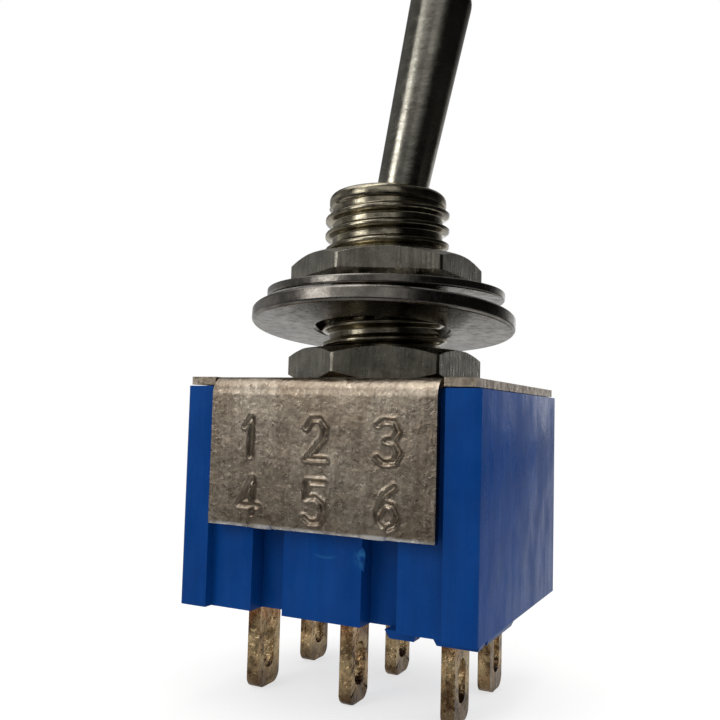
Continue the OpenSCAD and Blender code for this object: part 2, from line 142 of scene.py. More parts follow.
def lathe(profile, segments, closed=True):
    """A bmesh turned from a profile of (radius, height) points about Z."""
    bm = bmesh.new()
    ring = [bm.verts.new((r, 0, z)) for r, z in profile]
    count = len(ring)
    edges = [bm.edges.new((ring[i], ring[(i + 1) % count])) for i in range(count if closed else count - 1)]
    bmesh.ops.spin(bm, geom=ring + edges, cent=(0, 0, 0), axis=(0, 0, 1), dvec=(0, 0, 0),
                   angle=FULL_TURN, steps=segments, use_merge=True, use_duplicate=False)
    bmesh.ops.remove_doubles(bm, verts=bm.verts, dist=SAME)
    return bm


def arc(centre, radius, start, end, steps):
    """Points of an arc from start to end, in degrees, with both ends."""
    points = []
    for i in range(steps + 1):
        a = math.radians(start + (end - start) * i / steps)
        points.append((centre[0] + radius * math.cos(a), centre[1] + radius * math.sin(a)))
    return points


def add_block(bm, low, high):
    """Adds a block between two corners and returns its points."""
    low, high = Vector(low), Vector(high)
    made = bmesh.ops.create_cube(bm, size=1)
    bmesh.ops.scale(bm, vec=high - low, verts=made["verts"])
    bmesh.ops.translate(bm, vec=(low + high) / 2, verts=made["verts"])
    return made["verts"]


# ---------------------------------------------------------------- materials


class Finish:
    """A material on object coordinates, with short calls for its nodes."""

    def __init__(self, name, colour, metallic, roughness):
        self.material = bpy.data.materials.new(name)
        self.material.use_nodes = True
        self.tree = self.material.node_tree
        self.shader = self.tree.nodes["Principled BSDF"]
        self.shader.inputs["Base Color"].default_value = (*colour, 1)
        self.shader.inputs["Metallic"].default_value = metallic
        self.shader.inputs["Roughness"].default_value = roughness
        self.coords = self.tree.nodes.new("ShaderNodeTexCoord").outputs["Object"]

    def node(self, kind, inputs=(), **settings):
        """Adds a node, with its settings, and its inputs linked or set."""
        made = self.tree.nodes.new(kind)
        for key, value in settings.items():
            setattr(made, key, value)
        for key, value in dict(inputs).items():
            if hasattr(value, "links"):
                self.tree.links.new(value, made.inputs[key])
            else:
                made.inputs[key].default_value = value
        return made

    def mapped(self, scale):
        """Object coordinates times scale, in repeats per metre along each axis."""
        return self.node("ShaderNodeMapping", {"Vector": self.coords, "Scale": scale}).outputs["Vector"]

    def noise(self, scale, detail=4, roughness=0.55):
        """Cloudy noise from 0 to 1, with one scale or one for each axis."""
        if isinstance(scale, (int, float)):
            scale = (scale, scale, scale)
        return self.node("ShaderNodeTexNoise", {"Vector": self.mapped(scale), "Scale": 1, "Detail": detail,
                                                "Roughness": roughness}).outputs["Fac"]

    def band(self, value, low, high, out_low=0.0, out_high=1.0):
        """Stretches low to high over out_low to out_high, and holds it there outside."""
        return self.node("ShaderNodeMapRange", {"Value": value, "From Min": low, "From Max": high,
                                                "To Min": out_low, "To Max": out_high}).outputs["Result"]

    def maths(self, operation, a, b):
        """One step of arithmetic on two numbers."""
        return self.node("ShaderNodeMath", {0: a, 1: b}, operation=operation).outputs["Value"]

    def blend(self, factor, a, b):
        """Mixes colour a with colour b by a factor from 0 to 1."""
        made = self.node("ShaderNodeMix", data_type="RGBA")
        for socket, value in ((0, factor), (6, a), (7, b)):
            if hasattr(value, "links"):
                self.tree.links.new(value, made.inputs[socket])
            else:
                made.inputs[socket].default_value = (*value, 1) if isinstance(value, tuple) else value
        return made.outputs[2]

    def distance(self, place):
        """Distance in metres from a point given in millimetres."""
        return self.node("ShaderNodeVectorMath", {0: self.coords, 1: tuple(c * MM for c in place)},
                         operation="DISTANCE").outputs["Value"]

    def height(self):
        """Height above the frame's top face, in metres."""
        return self.node("ShaderNodeSeparateXYZ", {"Vector": self.coords}).outputs["Z"]

    def paint(self, colour, roughness):
        """Gives the surface its colour and its roughness."""
        self.tree.links.new(colour, self.shader.inputs["Base Color"])
        self.tree.links.new(roughness, self.shader.inputs["Roughness"])

    def bump(self, *layers):
        """Roughens the surface by layers of (height, strength, distance in metres)."""
        normal = None
        for height, strength, distance in layers:
            inputs = {"Height": height, "Strength": strength, "Distance": distance}
            if normal is not None:
                inputs["Normal"] = normal
            normal = self.node("ShaderNodeBump", inputs).outputs["Normal"]
        self.tree.links.new(normal, self.shader.inputs["Normal"])


# Marks on the case's front, in millimetres: a torn spot at a groove's edge, and an arc that something scraped.
TORN_AT, TORN_R, TORN_CORE = (1.90, -5.72, -7.25), 0.50, 0.20
SCUFF_AT, SCUFF_R, SCUFF_WIDE, SCUFF_CORE = (0.15, -5.65, -6.10), 1.25, 0.07, 0.02
SCUFF_TOP, SCUFF_FULL = -7.22, -7.34
BRUISED_BLUE = (0.030, 0.18, 0.38)


def blue_moulding():
    """Deep blue moulding with faint draw marks down its sides, and paler where it is torn or scraped."""
    finish = Finish("blue_moulding", (0.002, 0.043, 0.195), 0, 0.28)
    clouds = finish.band(finish.noise(420, 5), 0.35, 0.65)
    streaks = finish.band(finish.noise((2400, 2400, 150), 4, 0.6), 0.42, 0.70)
    specks = finish.band(finish.noise(5200, 2), 0.62, 0.74)
    tone = finish.blend(clouds, (0.0010, 0.038, 0.188), (0.0020, 0.048, 0.222))
    tone = finish.blend(finish.maths("MULTIPLY", streaks, 0.35), tone, (0.0010, 0.030, 0.145))
    tone = finish.blend(finish.maths("MULTIPLY", specks, 0.12), tone, (0.018, 0.080, 0.240))
    torn = finish.band(finish.distance(TORN_AT), TORN_R * MM, TORN_CORE * MM)
    torn = finish.maths("MULTIPLY", torn, finish.band(finish.noise(3200, 3), 0.42, 0.56))
    ring = finish.maths("ABSOLUTE", finish.maths("SUBTRACT", finish.distance(SCUFF_AT), SCUFF_R * MM), 0)
    scuff = finish.maths("MULTIPLY", finish.band(ring, SCUFF_WIDE * MM, SCUFF_CORE * MM),
                         finish.band(finish.height(), SCUFF_TOP * MM, SCUFF_FULL * MM))
    tone = finish.blend(finish.maths("MULTIPLY", torn, 0.45), tone, BRUISED_BLUE)
    tone = finish.blend(finish.maths("MULTIPLY", scuff, 0.25), tone, BRUISED_BLUE)
    rough = finish.band(finish.noise((900, 900, 350), 5, 0.6), 0.35, 0.65, 0.20, 0.38)
    finish.paint(tone, rough)
    finish.bump((finish.noise(4200, 3), 0.12, 0.00005),
                (finish.noise((2400, 2400, 150), 3), 0.08, 0.00010),
                (finish.noise(260, 2), 0.20, 0.00030))
    finish.shader.inputs["Specular IOR Level"].default_value = 0.11
    return finish.material


def tinned_sheet():
    """Tinned sheet: brownish grey, drawn in faint streaks, stained, with a painted highlight along its lower edge.
    """
    highlight_from, highlight_to = FRAME_LOW.z + 0.15, FRAME_LOW.z + 0.06
    finish = Finish("tinned_sheet", (0.36, 0.29, 0.22), 1, 0.34)
    blotch = finish.band(finish.noise(380, 5, 0.6), 0.36, 0.64)
    speck = finish.band(finish.noise(4200, 4, 0.75), 0.46, 0.62)
    streak = finish.band(finish.noise((3000, 3000, 260), 4, 0.65), 0.44, 0.66)
    glint = finish.band(finish.noise(5600, 2, 0.6), 0.60, 0.70)
    tone = finish.blend(blotch, (0.38, 0.305, 0.225), (0.56, 0.485, 0.385))
    tone = finish.blend(finish.maths("MULTIPLY", speck, 0.45), tone, (0.17, 0.12, 0.085))
    tone = finish.blend(finish.maths("MULTIPLY", streak, 0.50), tone, (0.20, 0.145, 0.105))
    tone = finish.blend(finish.maths("MULTIPLY", glint, 0.45), tone, (0.86, 0.76, 0.64))
    # Painted highlight: the lower edge is lightened to near white in ragged patches.
    edge = finish.band(finish.height(), highlight_from * MM, highlight_to * MM)
    worn = finish.maths("MULTIPLY", edge, finish.band(finish.noise(1100, 3), 0.34, 0.50, 0.35, 1.0))
    tone = finish.blend(worn, tone, (0.97, 0.93, 0.88))
    rough = finish.band(finish.noise(2600, 4), 0.3, 0.7, 0.24, 0.42)
    finish.paint(tone, rough)
    finish.bump((finish.noise(4800, 4, 0.7), 0.40, 0.00005),
                (finish.noise((2200, 2200, 400), 3), 0.35, 0.00010),
                (finish.noise(500, 2), 0.30, 0.00020))
    return finish.material


def nickel(name, light, dark, roughness, grain, depth):
    """Dull nickel plate. Grain is the brushing's repeats per metre along each axis, depth how hard it is brushed."""
    finish = Finish(name, light, 1, roughness)
    haze = finish.band(finish.noise(900, 5, 0.65), 0.36, 0.66)
    stain = finish.band(finish.noise(330, 4), 0.46, 0.68)
    marks = finish.band(finish.noise(grain, 4, 0.65), 0.36, 0.66)
    tone = finish.blend(haze, light, dark)
    tone = finish.blend(finish.maths("MULTIPLY", marks, 0.45), tone, tuple(c * 0.55 for c in dark))
    tone = finish.blend(finish.maths("MULTIPLY", stain, 0.40), tone, tuple(c * 0.5 for c in dark))
    rough = finish.band(finish.noise(2200, 4), 0.3, 0.7, roughness - 0.07, roughness + 0.13)
    finish.paint(tone, rough)
    finish.bump((finish.noise(grain, 4, 0.65), depth, 0.00005), (finish.noise(4200, 3), 0.20, 0.00003))
    return finish.material


def lug_metal():
    """Tinned brass: coppery where it leaves the case, with a painted highlight half way down and painted shade
    towards its tip.
    """
    finish = Finish("lug_metal", (0.46, 0.37, 0.25), 1, 0.34)
    high = finish.height()

    def from_case(start, end):
        """Fades in between two heights, given from the case's underside."""
        return finish.band(high, (CASE_BOTTOM + start) * MM, (CASE_BOTTOM + end) * MM)

    near_case = finish.maths("MULTIPLY", from_case(-1.5, -0.2), from_case(0.6, 0.2))
    ragged = finish.maths("MULTIPLY", near_case, finish.band(finish.noise(1300, 4), 0.40, 0.56))
    blotch = finish.band(finish.noise(1150, 5, 0.7), 0.42, 0.58)
    dirt = finish.band(finish.noise(2300, 4, 0.7), 0.47, 0.60)
    tone = finish.blend(blotch, (0.105, 0.058, 0.027), (0.95, 0.64, 0.33))
    tone = finish.blend(finish.maths("MULTIPLY", dirt, 0.85), tone, (0.055, 0.032, 0.018))
    tone = finish.blend(finish.maths("MULTIPLY", ragged, 0.85), tone, (0.46, 0.17, 0.06))
    # Painted highlight: a warm bright band half way down the lug.
    belly_highlight = finish.maths("MULTIPLY", from_case(-0.9, -1.7), finish.band(finish.noise(1000, 3), 0.46, 0.58))
    tone = finish.blend(finish.maths("MULTIPLY", belly_highlight, 0.5), tone, (1.0, 0.76, 0.42))
    # Painted shade: the lug darkens towards its tip.
    tone = finish.blend(finish.maths("MULTIPLY", from_case(-2.7, -3.6), 0.72), tone, (0.085, 0.052, 0.030))
    rough = finish.band(finish.noise(2100, 4), 0.3, 0.7, 0.12, 0.34)
    finish.paint(tone, rough)
    finish.bump((finish.noise(3600, 4, 0.7), 0.75, 0.00007), (finish.noise(900, 3), 0.95, 0.00022))
    return finish.material


def plain_metal(name, light, dark, roughness):
    """Clean metal with a faint cloud in its tone."""
    finish = Finish(name, light, 1, roughness)
    tone = finish.blend(finish.band(finish.noise(900, 4), 0.35, 0.65), light, dark)
    finish.paint(tone, finish.band(finish.noise(2000, 3), 0.3, 0.7, roughness - 0.05, roughness + 0.1))
    finish.bump((finish.noise(3000, 3), 0.15, 0.00003))
    return finish.material


def nylon():
    """Natural nylon, a little see-through at its edges."""
    finish = Finish("nylon", (0.82, 0.78, 0.68), 0, 0.45)
    tone = finish.blend(finish.band(finish.noise(500, 3), 0.35, 0.65), (0.84, 0.80, 0.70), (0.74, 0.69, 0.58))
    finish.paint(tone, finish.band(finish.noise(1800, 3), 0.3, 0.7, 0.38, 0.55))
    finish.bump((finish.noise(4000, 2), 0.12, 0.00004))
    finish.shader.inputs["Subsurface Weight"].default_value = 0.1
    finish.shader.inputs["Subsurface Radius"].default_value = (0.001, 0.0008, 0.0005)
    return finish.material


BLUE = blue_moulding()
SHEET = tinned_sheet()
THREAD = nickel("bushing_plate", (0.70, 0.63, 0.46), (0.16, 0.14, 0.108), 0.13, (900, 900, 5200), 0.25)
NUTS = nickel("nut_plate", (0.53, 0.50, 0.41), (0.27, 0.25, 0.205), 0.27, (5200, 5200, 420), 0.7)
RINGS = nickel("washer_plate", (0.40, 0.37, 0.33), (0.24, 0.22, 0.195), 0.20, (1500, 1500, 1500), 0.15)
BAT = nickel("lever_plate", (0.56, 0.535, 0.45), (0.38, 0.36, 0.30), 0.15, (1300, 1300, 4200), 0.14)
LUGS = lug_metal()
BRASS = plain_metal("contact_brass", (0.72, 0.52, 0.24), (0.58, 0.40, 0.17), 0.3)
STEEL = plain_metal("spring_wire", (0.58, 0.58, 0.6), (0.42, 0.42, 0.44), 0.28)
NYLON = nylon()

# ---------------------------------------------------------------- case


def make_case():
    """The moulded case: an outline of pillars, panels and grooves, hollow above its floor."""
    half_l, half_w = CASE_HIGH.x, CASE_HIGH.y
    bottom, top = CASE_BOTTOM, CASE_HIGH.z
    pillar_wide, panel_deep, groove_deep, groove_wide = 1.4, 0.45, 0.95, 1.55
    floor_thick, end_wall, groove_wall = 3.0, 1.2, 0.9
    rib_half, rib_tall, rib_sink = 0.4, 1.7, 0.05
    corner_round = 0.22
    pillar_x, panel_y = half_l - pillar_wide, half_w - panel_deep
    groove_y = panel_y - groove_deep
    groove_in, groove_out = GROOVE_X - groove_wide / 2, GROOVE_X + groove_wide / 2
    floor = bottom + floor_thick
    room_x, room_y = half_l - end_wall, groove_y - groove_wall
    side = [(half_l, half_w), (pillar_x, half_w), (pillar_x, panel_y), (groove_out, panel_y),
            (groove_out, groove_y), (groove_in, groove_y), (groove_in, panel_y)]
    front = [(x, -y) for x, y in side]
    front += [(-x, y) for x, y in reversed(front)]
    outline = front + [(-x, -y) for x, y in front]
    bm = bmesh.new()
    base = bm.faces.new([bm.verts.new((x, y, bottom)) for x, y in outline])
    raised = bmesh.ops.extrude_face_region(bm, geom=[base])["geom"]
    bmesh.ops.translate(bm, vec=(0, 0, top - bottom), verts=[v for v in raised if isinstance(v, bmesh.types.BMVert)])
    corners = [e for e in bm.edges if abs(e.verts[0].co.z - e.verts[1].co.z) > HAIR
               and abs(abs(e.verts[0].co.x) - half_l) < HAIR]
    bmesh.ops.bevel(bm, geom=corners, offset=corner_round, segments=6, profile=0.5, affect="EDGES", material=-1)
    lid = [f for f in bm.faces if f.calc_center_median().z > top - HAIR]
    lid_edges = lid[0].edges[:]
    bmesh.ops.delete(bm, geom=lid, context="FACES_ONLY")
    mouth = [bm.verts.new((x, y, top)) for x, y in
             ((-room_x, -room_y), (room_x, -room_y), (room_x, room_y), (-room_x, room_y))]
    mouth_edges = [bm.edges.new((mouth[i], mouth[(i + 1) % 4])) for i in range(4)]
    bmesh.ops.triangle_fill(bm, use_beauty=True, use_dissolve=False, edges=lid_edges + mouth_edges)
    walls = bmesh.ops.extrude_edge_only(bm, edges=mouth_edges)["geom"]
    sunk = [v for v in walls if isinstance(v, bmesh.types.BMVert)]
    bmesh.ops.translate(bm, vec=(0, 0, floor - top), verts=sunk)
    bmesh.ops.contextual_create(bm, geom=sunk)
    add_block(bm, (-room_x - rib_sink, -rib_half, floor - rib_sink), (room_x + rib_sink, rib_half, floor + rib_tall))
    add_feet(bm, half_l, panel_y)
    add_burr(bm, (groove_in, -panel_y, TORN_AT[2]))
    case = piece_from(bm, "moulded_case", BLUE, BODY, smooth_angle=20)
    soften(case, 0.07, 2, 40)
    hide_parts("case")


def add_feet(bm, half_l, panel_y):
    """Three locating feet round the front right lug, which narrow downwards."""
    wide, draft, feet_gap, sink = 0.9, 0.15, 0.25, 0.02
    short, corner, long = 1.35, 1.95, 3.7
    right, front = half_l - 0.1, -panel_y + 0.3
    for x, y, length, width in ((GROOVE_X + draft, front, short, wide),
                                (right - corner, front, corner, wide),
                                (right - wide, front + wide + feet_gap, wide, long)):
        foot = add_block(bm, (x, y, CASE_BOTTOM - FOOT_HEIGHT), (x + length, y + width, CASE_BOTTOM + sink))
        for vert in foot:
            if vert.co.z < CASE_BOTTOM - HAIR:
                vert.co.x += draft if vert.co.x < x + length / 2 else -draft
                vert.co.y += draft if vert.co.y < y + width / 2 else -draft


def add_burr(bm, place):
    """A torn sliver of moulding that stands off an edge."""
    points = ((-0.20, 0.02, 0.05), (-0.12, -0.10, 0.34), (0.06, -0.05, 0.50),
              (0.17, -0.02, 0.18), (0.04, -0.12, -0.02), (-0.08, -0.08, -0.26),
              (0.08, 0.05, -0.52), (0.12, 0.08, 0.34), (-0.14, 0.02, -0.36))
    verts = [bm.verts.new(Vector(place) + Vector(p)) for p in points]
    bmesh.ops.convex_hull(bm, input=verts)


# ---------------------------------------------------------------- frame


def make_frame():
    """The folded sheet: a plate with a hole, two bent flaps and dents over the case's grooves."""
    plate_x, flap_x = FRAME_HIGH.x, 5.2
    flap_y, drop = FRAME_HIGH.y, FRAME_LOW.z
    bend_out, bend_steps = 0.75, 8
    bend_y = flap_y - bend_out
    tab_inset, relief = 0.05, 0.12
    tab_y = CASE_HIGH.y - tab_inset
    # The front flap is finer than the rear one, for the numerals stamped in it.
    front_columns, front_rows = 208, 120
    rear_columns, rear_rows = 52, 16
    bm = bmesh.new()
    front = [bm.verts.new((-flap_x + 2 * flap_x * i / front_columns, -bend_y, 0)) for i in range(front_columns + 1)]
    rear = [bm.verts.new((flap_x - 2 * flap_x * i / rear_columns, bend_y, 0)) for i in range(rear_columns + 1)]
    in_x = flap_x + relief

    def tab(sign):
        """Points of one end tab, from the front flap to the rear flap for sign 1."""
        return [(sign * in_x, -sign * bend_y), (sign * in_x, -sign * tab_y), (sign * plate_x, -sign * tab_y),
                (sign * plate_x, sign * tab_y), (sign * in_x, sign * tab_y), (sign * in_x, sign * bend_y)]

    right = [bm.verts.new((x, y, 0)) for x, y in tab(1)]
    left = [bm.verts.new((x, y, 0)) for x, y in tab(-1)]
    ring = front + right + rear + left
    rim = [bm.edges.new((vert, ring[(i + 1) % len(ring)])) for i, vert in enumerate(ring)]
    hole = bmesh.ops.create_circle(bm, cap_ends=False, radius=THREAD_R + THREAD_GAP, segments=48)["verts"]
    hole_edges = [e for e in bm.edges if e.verts[0] in hole and e.verts[1] in hole]
    bmesh.ops.triangle_fill(bm, use_beauty=True, use_dissolve=False, edges=rim + hole_edges)
    for row, sign, steps in ((front, -1, front_rows), (rear, 1, rear_rows)):
        edges = [e for e in bm.edges if e.verts[0] in row and e.verts[1] in row]
        turned = bmesh.ops.spin(bm, geom=row + edges, cent=(0, sign * bend_y, -bend_out), axis=(1, 0, 0),
                                dvec=(0, 0, 0), angle=-sign * math.pi / 2, steps=bend_steps,
                                use_duplicate=False)
        last = turned["geom_last"]
        for _ in range(steps):
            grown = bmesh.ops.extrude_edge_only(bm, edges=[e for e in last if isinstance(e, bmesh.types.BMEdge)])
            last = grown["geom"]
            bmesh.ops.translate(bm, vec=(0, 0, (drop + bend_out) / steps),
                                verts=[v for v in last if isinstance(v, bmesh.types.BMVert)])
    for vert in bm.verts:
        dent(vert.co, drop)
    bmesh.ops.recalc_face_normals(bm, faces=bm.faces)
    top_face = max(bm.faces, key=lambda f: f.calc_center_median().z)
    if top_face.normal.z < 0:
        bmesh.ops.reverse_faces(bm, faces=bm.faces)
    bmesh.ops.solidify(bm, geom=bm.faces[:], thickness=SHEET_T)
    stamp(bm, flap_y, -bend_out)
    sheet = piece_from(bm, "sheet_frame", SHEET, BODY, smooth_angle=40)
    soften(sheet, 0.08, 3, 60)
    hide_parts("frame")


def dent(point, drop):
    """Presses a point of a flap's lower edge in where it lies over a groove of the case."""
    half_wide, tall, deep, sag = 0.60, 0.50, 0.28, 0.08
    up = (point.z - drop) / tall
    aside = abs(abs(point.x) - GROOVE_X) / half_wide
    if up > 1 or aside > 1:
        return
    share = (1 - up) ** 2 * (1 - aside ** 4)
    point.y -= math.copysign(deep * share, point.y)
    point.z -= sag * share


# Plain numerals as pen strokes in a box one wide and one tall, from its lower left corner.
NUMERALS = {
    "1": ((0.25, 0.75), (0.55, 1.0), (0.55, 0.0)),
    "2": ((0.05, 0.78), (0.25, 0.98), (0.65, 1.0), (0.92, 0.80), (0.85, 0.55), (0.05, 0.0), (0.95, 0.0)),
    "3": ((0.05, 0.9), (0.3, 1.0), (0.75, 0.98), (0.92, 0.76), (0.7, 0.56), (0.4, 0.53), (0.75, 0.49),
          (0.97, 0.27), (0.75, 0.03), (0.3, 0.0), (0.03, 0.12)),
    "4": ((0.7, 0.0), (0.7, 1.0), (0.0, 0.3), (1.0, 0.3)),
    "5": ((0.92, 1.0), (0.15, 1.0), (0.08, 0.58), (0.5, 0.62), (0.85, 0.48), (0.95, 0.27), (0.7, 0.03),
          (0.3, 0.0), (0.0, 0.12)),
    "6": ((0.8, 1.0), (0.35, 0.8), (0.08, 0.4), (0.12, 0.15), (0.45, 0.0), (0.8, 0.1), (0.93, 0.33),
          (0.75, 0.56), (0.4, 0.6), (0.1, 0.35)),
}


def stamp(bm, flap_y, below):
    """Stamps the numerals in two rows of three into the outer skin of the front flap."""
    column_step, row_tops = 3.2, (-1.7, -4.25)
    skin = 0.002
    strokes = []
    for i, mark in enumerate(NUMERALS):
        strokes += stroke_lines(mark, (column_step * (i % 3 - 1), row_tops[i // 3]))
    for vert in bm.verts:
        if abs(vert.co.y + flap_y) < skin and vert.co.z < below:
            vert.co.y += stamped_depth(vert.co.x, vert.co.z, strokes)


def stroke_lines(mark, top_middle):
    """The straight strokes of a numeral, as pairs of points on the flap."""
    wide, tall = 1.0, 1.65
    points = [Vector((top_middle[0] + (x - 0.5) * wide, top_middle[1] + (z - 1) * tall)) for x, z in NUMERALS[mark]]
    return list(zip(points, points[1:]))


def stamped_depth(x, z, strokes):
    """How far the punch pressed the flap in at a point; negative on the lip it raised."""
    half_wide, lip_wide, deep, lip = 0.10, 0.09, 0.085, 0.035
    point = Vector((x, z))
    near = math.inf
    for start, end in strokes:
        along = end - start
        share = min(1.0, max(0.0, (point - start).dot(along) / along.length_squared))
        near = min(near, (point - start - along * share).length)
    if near < half_wide:
        return deep * (1 - (near / half_wide) ** 2)
    if near < half_wide + lip_wide:
        return -lip * math.sin(math.pi * (near - half_wide) / lip_wide)
    return 0.0


# ---------------------------------------------------------------- bushing, nuts, washers


def thread_radius(z, angle):
    """Radius of a rounded 60 degree thread at a height and an angle about Z."""
    depth, crest, flank_share, start, worn = 0.32, 0.16, 0.5, 0.19, 0.02
    phase = ((z - start) / THREAD_PITCH - angle / FULL_TURN) % 1.0
    away = abs(phase - 0.5) * 2
    flank = min(1.0, max(0.0, (away - crest) / flank_share))
    flank = flank * flank * (3 - 2 * flank)
    return THREAD_R - worn - depth * flank


def make_bushing():
    """The turned bushing with its helical thread, its keyway and its plain collar round the mouth."""
    top, base, rows = BUSH_HIGH.z, 0.15, 220
    flange_low, flange_r, flange_t, skirt_r = BUSH_LOW.z, BUSH_HIGH.x, 0.6, 2.6
    collar_r, collar_low, collar_round, collar_step = 2.81, top - 0.66, 0.34, 0.03
    mouth_r, mouth_bevel, throat_r, throat_top, throat_long = 2.24, 0.14, 1.62, PIVOT_Z + 1.27, 0.1
    seat_r, seat_from, skirt_top = 2.06, 50, 3.4
    run_tall, collar_slope = 0.45, 1.2
    key_half, key_floor = 0.5, 2.65
    profile = [(skirt_r, flange_low), (flange_r, flange_low), (flange_r, flange_low + flange_t),
               (THREAD_R, flange_low + flange_t)]
    profile += [(THREAD_R, base + (collar_low - base) * i / rows) for i in range(rows + 1)]
    profile += [(collar_r - collar_step, collar_low + 0.05), (collar_r, collar_low + 0.15)]
    profile += arc((collar_r - collar_round, top - collar_round), collar_round, 0, 90, 6)
    profile += [(mouth_r, top), (mouth_r - mouth_bevel, top - 0.1)]
    profile += [(throat_r, throat_top), (throat_r, throat_top - throat_long)]
    profile += arc((0, PIVOT_Z), seat_r, seat_from, 0, 8)
    profile += [(seat_r, skirt_top)]
    bm = lathe(profile, 144)
    for vert in bm.verts:
        x, y, z = vert.co
        radius, angle = math.hypot(x, y), math.atan2(y, x)
        if radius > THREAD_R - HAIR and base - CLOSE <= z <= collar_low + CLOSE:
            run_out = min(1.0, (z - base) / run_tall)
            cut = THREAD_R + (thread_radius(z, angle) - THREAD_R) * run_out
            cut = min(cut, collar_r - collar_step + (collar_low - z) * collar_slope)
            vert.co.x, vert.co.y = cut * math.cos(angle), cut * math.sin(angle)
        if abs(y) < key_half and x < 0 and radius > key_floor + HAIR and z > 0:
            vert.co.x = -key_floor
    bushing = piece_from(bm, "threaded_bushing", THREAD, BODY, smooth_angle=50)
    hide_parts("bushing")


def cut_off(bm, point, outward):
    """Saws away what lies outward of a plane and closes the cut."""
    cut = bmesh.ops.bisect_plane(bm, geom=bm.verts[:] + bm.edges[:] + bm.faces[:], dist=SAME,
                                 plane_co=point, plane_no=outward.normalized(), clear_outer=True)
    open_edges = [e for e in cut["geom_cut"] if isinstance(e, bmesh.types.BMEdge) and len(e.link_faces) == 1]
    bmesh.ops.edgeloop_fill(bm, edges=open_edges)


def make_nut(name, node, low_z, turn, foot_bevel=0.0):
    """A hexagon nut: a bevelled disc cut to six flats, with blunted corners and a sloping foot."""
    corner_r, blunt = NUT_FLATS / math.sqrt(3), 0.045
    bevel = (corner_r - NUT_FLATS / 2) * math.tan(math.radians(30))
    face_r, bore, sink = NUT_FLATS / 2 - 0.02, THREAD_R + THREAD_GAP, 0.25
    # The disc is turned a little larger than the corners, along the same slope, and then cut.
    rim_r, rim_low = corner_r + 0.05, bevel + 0.03
    profile = [(bore, sink), (bore + sink, 0), (face_r, 0), (rim_r, rim_low),
               (rim_r, NUT_T - rim_low), (face_r, NUT_T), (bore + sink, NUT_T), (bore, NUT_T - sink)]
    bm = lathe(profile, 192)
    upright = Vector((0, 0, 1))
    for side in range(6):
        angle = side * FULL_TURN / 6
        flat = Vector((math.cos(angle), math.sin(angle), 0))
        cut_off(bm, flat * NUT_FLATS / 2, flat)
        if foot_bevel:
            cut_off(bm, flat * NUT_FLATS / 2 + upright * foot_bevel, flat - upright)
        corner = Matrix.Rotation(FULL_TURN / 12, 3, "Z") @ flat
        cut_off(bm, corner * (corner_r - blunt), corner)
    place = Matrix.Translation((0, 0, low_z)) @ Matrix.Rotation(math.radians(turn), 4, "Z")
    nut = piece_from(bm, name, NUTS, BODY, place, smooth_angle=20)
    soften(nut, 0.04, 2, 24)
    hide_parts(node)


def disc_profile(inner, outer, thick, edge):
    """A flat ring's section with broken edges."""
    return [(inner, edge), (inner + edge, 0), (outer - edge, 0), (outer, edge),
            (outer, thick - edge), (outer - edge, thick), (inner + edge, thick), (inner, thick - edge)]


def make_key_washer():
    """A thick loose washer with a tongue in the bushing's keyway, hanging a little tilted."""
    outer, thick, bore, edge = 6.25, 0.7, THREAD_R + 0.2, 0.11
    tongue_half, tongue_root, tongue_bite, tongue_inset = 0.4, 0.2, 0.1, 0.05
    middle, tilt_x, tilt_y = (-0.1, 0, 2.88), -5.4, -1
    bm = lathe(disc_profile(bore, outer, thick, edge), 160)
    add_block(bm, (-bore - tongue_root, -tongue_half, tongue_inset),
              (-THREAD_R + tongue_bite, tongue_half, thick - tongue_inset))
    place = (Matrix.Translation(middle) @ Matrix.Rotation(math.radians(tilt_y), 4, "Y")
             @ Matrix.Rotation(math.radians(tilt_x), 4, "X") @ Matrix.Translation((0, 0, -thick / 2)))
    washer = piece_from(bm, "keyed_washer", RINGS, BODY, place, smooth_angle=28)
    soften(washer, 0.035, 2, 30)
    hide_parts("key_washer")


def make_lock_washer():
    """A thin ring whose inner teeth are twisted a little out of its plane."""
    thick, outer, edge = LOCK_HIGH.z - LOCK_LOW.z, LOCK_HIGH.x, 0.06
    ring_r, tooth_r = outer - 1.4, THREAD_R + 0.2
    teeth, twist, tooth_half, tooth_root, tooth_inset = 10, 5, 0.55, 0.15, 0.09
    bm = lathe(disc_profile(ring_r, outer, thick, edge), 160)
    for i in range(teeth):
        tooth = add_block(bm, (tooth_r, -tooth_half, tooth_inset),
                          (ring_r + tooth_root, tooth_half, thick - tooth_inset))
        twisted = Matrix.Rotation(math.radians(twist), 3, "X")
        bmesh.ops.rotate(bm, cent=(0, 0, thick / 2), matrix=twisted, verts=tooth)
        turned = Matrix.Rotation(FULL_TURN * (i + 0.5) / teeth, 3, "Z")
        bmesh.ops.rotate(bm, cent=(0, 0, 0), matrix=turned, verts=tooth)
    place = Matrix.Translation((0, 0, LOCK_LOW.z))
    washer = piece_from(bm, "toothed_washer", RINGS, BODY, place, smooth_angle=28)
    soften(washer, 0.03, 2, 30)
    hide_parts("lock_washer")


# ---------------------------------------------------------------- lever


def on_lever(*offset):
    """Places what is modelled upright, with its pivot at the origin, on the leaning lever."""
    return (Matrix.Translation((0, 0, PIVOT_Z)) @ Matrix.Rotation(math.radians(LEVER_LEAN), 4, "Y")
            @ Matrix.Translation(offset))


